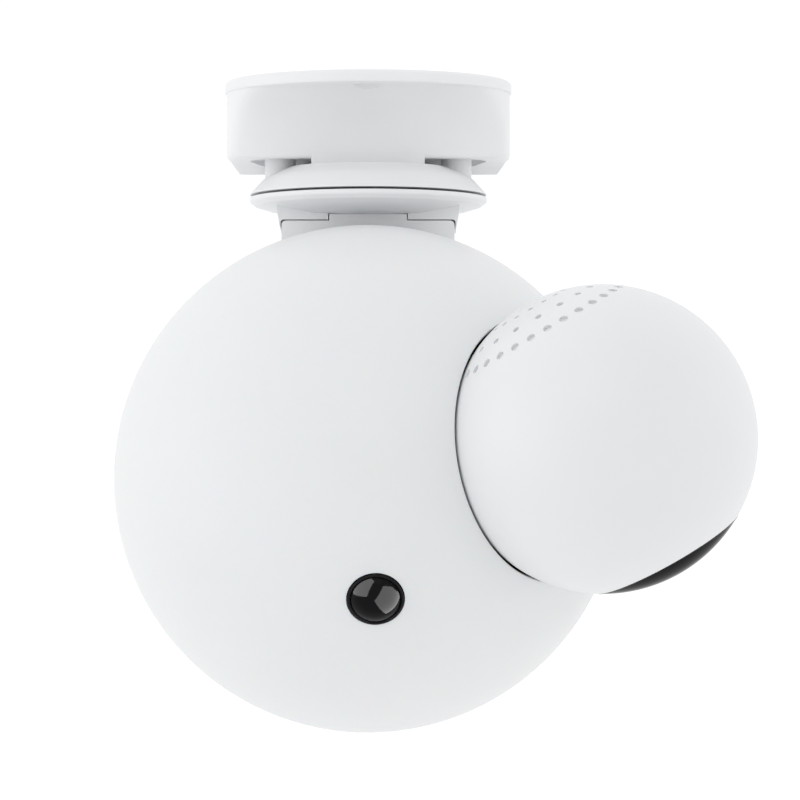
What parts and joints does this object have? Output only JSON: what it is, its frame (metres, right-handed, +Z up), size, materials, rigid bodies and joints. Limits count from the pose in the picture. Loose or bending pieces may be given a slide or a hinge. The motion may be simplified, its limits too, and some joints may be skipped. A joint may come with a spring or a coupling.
{
  "type": "floodlight security camera",
  "caption": "Wall-mounted spherical lamp on a tilting swivel bracket, with a motion sensor and a smaller camera ball that turns and tilts in a socket of the lamp.",
  "frame": {"origin": "the middle of the wall plate's back face, midway between the two wall screws", "axes": "+Y points into the wall, +Z up; the lamp reaches out along -Y"},
  "size_m": [0.2124, 0.221, 0.1975],
  "materials": {
    "white_metal": "satin powder coat",
    "white_shell": "satin",
    "opal_dome": "opal, satin",
    "ball_white": "satin",
    "dark_window": "polished",
    "sensor_black": "polished",
    "black_plastic": "fine texture",
    "rubber_black": "matt",
    "bright_steel": "plated",
    "bare_aluminium": "cast",
    "circuit_green": "solder mask",
    "lamp_board_white": "white solder mask",
    "lamp_chip": "phosphor",
    "chip_black": "moulded",
    "grey_plastic": "moulded",
    "clear_glass": "polished",
    "night_light": "clear dark"
  },
  "bodies": {
    "bracket": {"wall_bracket": "white_metal", "wall_gasket": "rubber_black", "terminal_block": "grey_plastic", "fixed_flange": "white_metal", "flange_screws": "bright_steel", "swivel_tube": "bright_steel", "swivel_nut": "bright_steel", "swivel_washer": "bright_steel", "swivel_seal": "rubber_black"},
    "arm": {"swivel_arm": "white_metal", "hinge_pin": "bright_steel", "hinge_caps": "bright_steel"},
    "lamp_head": {"hinge_block": "white_metal", "neck_screws": "bright_steel", "top_housing": "white_shell", "diffuser_dome": "opal_dome", "head_seal": "rubber_black", "housing_screws": "bright_steel", "heat_sink": "bare_aluminium", "sink_screws": "bright_steel", "led_board": "lamp_board_white", "led_chips": "lamp_chip", "lamp_driver": "grey_plastic", "sensor_bezel": "black_plastic", "sensor_lens": "sensor_black", "sensor_board": "circuit_green", "sensor_can": "bright_steel", "camera_socket": "black_plastic", "socket_washer": "bright_steel"},
    "camera_stem": {"camera_stem": "bare_aluminium", "stem_nut": "bright_steel", "tilt_pin": "bright_steel"},
    "camera_ball": {"ball_shell": "ball_white", "camera_window": "dark_window", "window_seal": "rubber_black", "camera_chassis": "bare_aluminium", "lens_barrel": "black_plastic", "lens_glass": "clear_glass", "image_board": "circuit_green", "image_sensor": "chip_black", "night_board": "circuit_green", "night_lights": "night_light", "night_posts": "bright_steel", "main_board": "circuit_green", "board_posts": "bright_steel", "main_chips": "chip_black", "speaker": "black_plastic", "speaker_horn": "grey_plastic", "service_tray": "grey_plastic", "memory_card": "chip_black", "service_cover": "ball_white"},
    "reset_button": {"reset_button": "grey_plastic"}
  },
  "joints": [
    {"name": "arm_swivel", "type": "hinge", "parent": "bracket", "child": "arm", "pos_m": [0, -0.04, 0], "axis": [0, -1, 0], "range_deg": [-170, 170]},
    {"name": "head_tilt", "type": "hinge", "parent": "arm", "child": "lamp_head", "pos_m": [0, -0.0542, 0.009], "axis": [-1, 0, 0], "range_deg": [0, 60]},
    {"name": "camera_swivel", "type": "hinge", "parent": "lamp_head", "child": "camera_stem", "pos_m": [-0.07694, -0.12536, -0.09203], "axis": [-0.774, 0.107, -0.624], "range_deg": [-150, 150]},
    {"name": "camera_tilt", "type": "hinge", "parent": "camera_stem", "child": "camera_ball", "pos_m": [-0.07694, -0.12536, -0.09203], "axis": [-0.5267, 0.4382, 0.7284], "range_deg": [-18, 18]},
    {"name": "reset_press", "type": "slide", "parent": "camera_ball", "child": "reset_button", "axis": [0.4501, 0.15, -0.8803], "range_m": [0, 0.0005], "stiffness_N_per_m": 800}
  ]
}
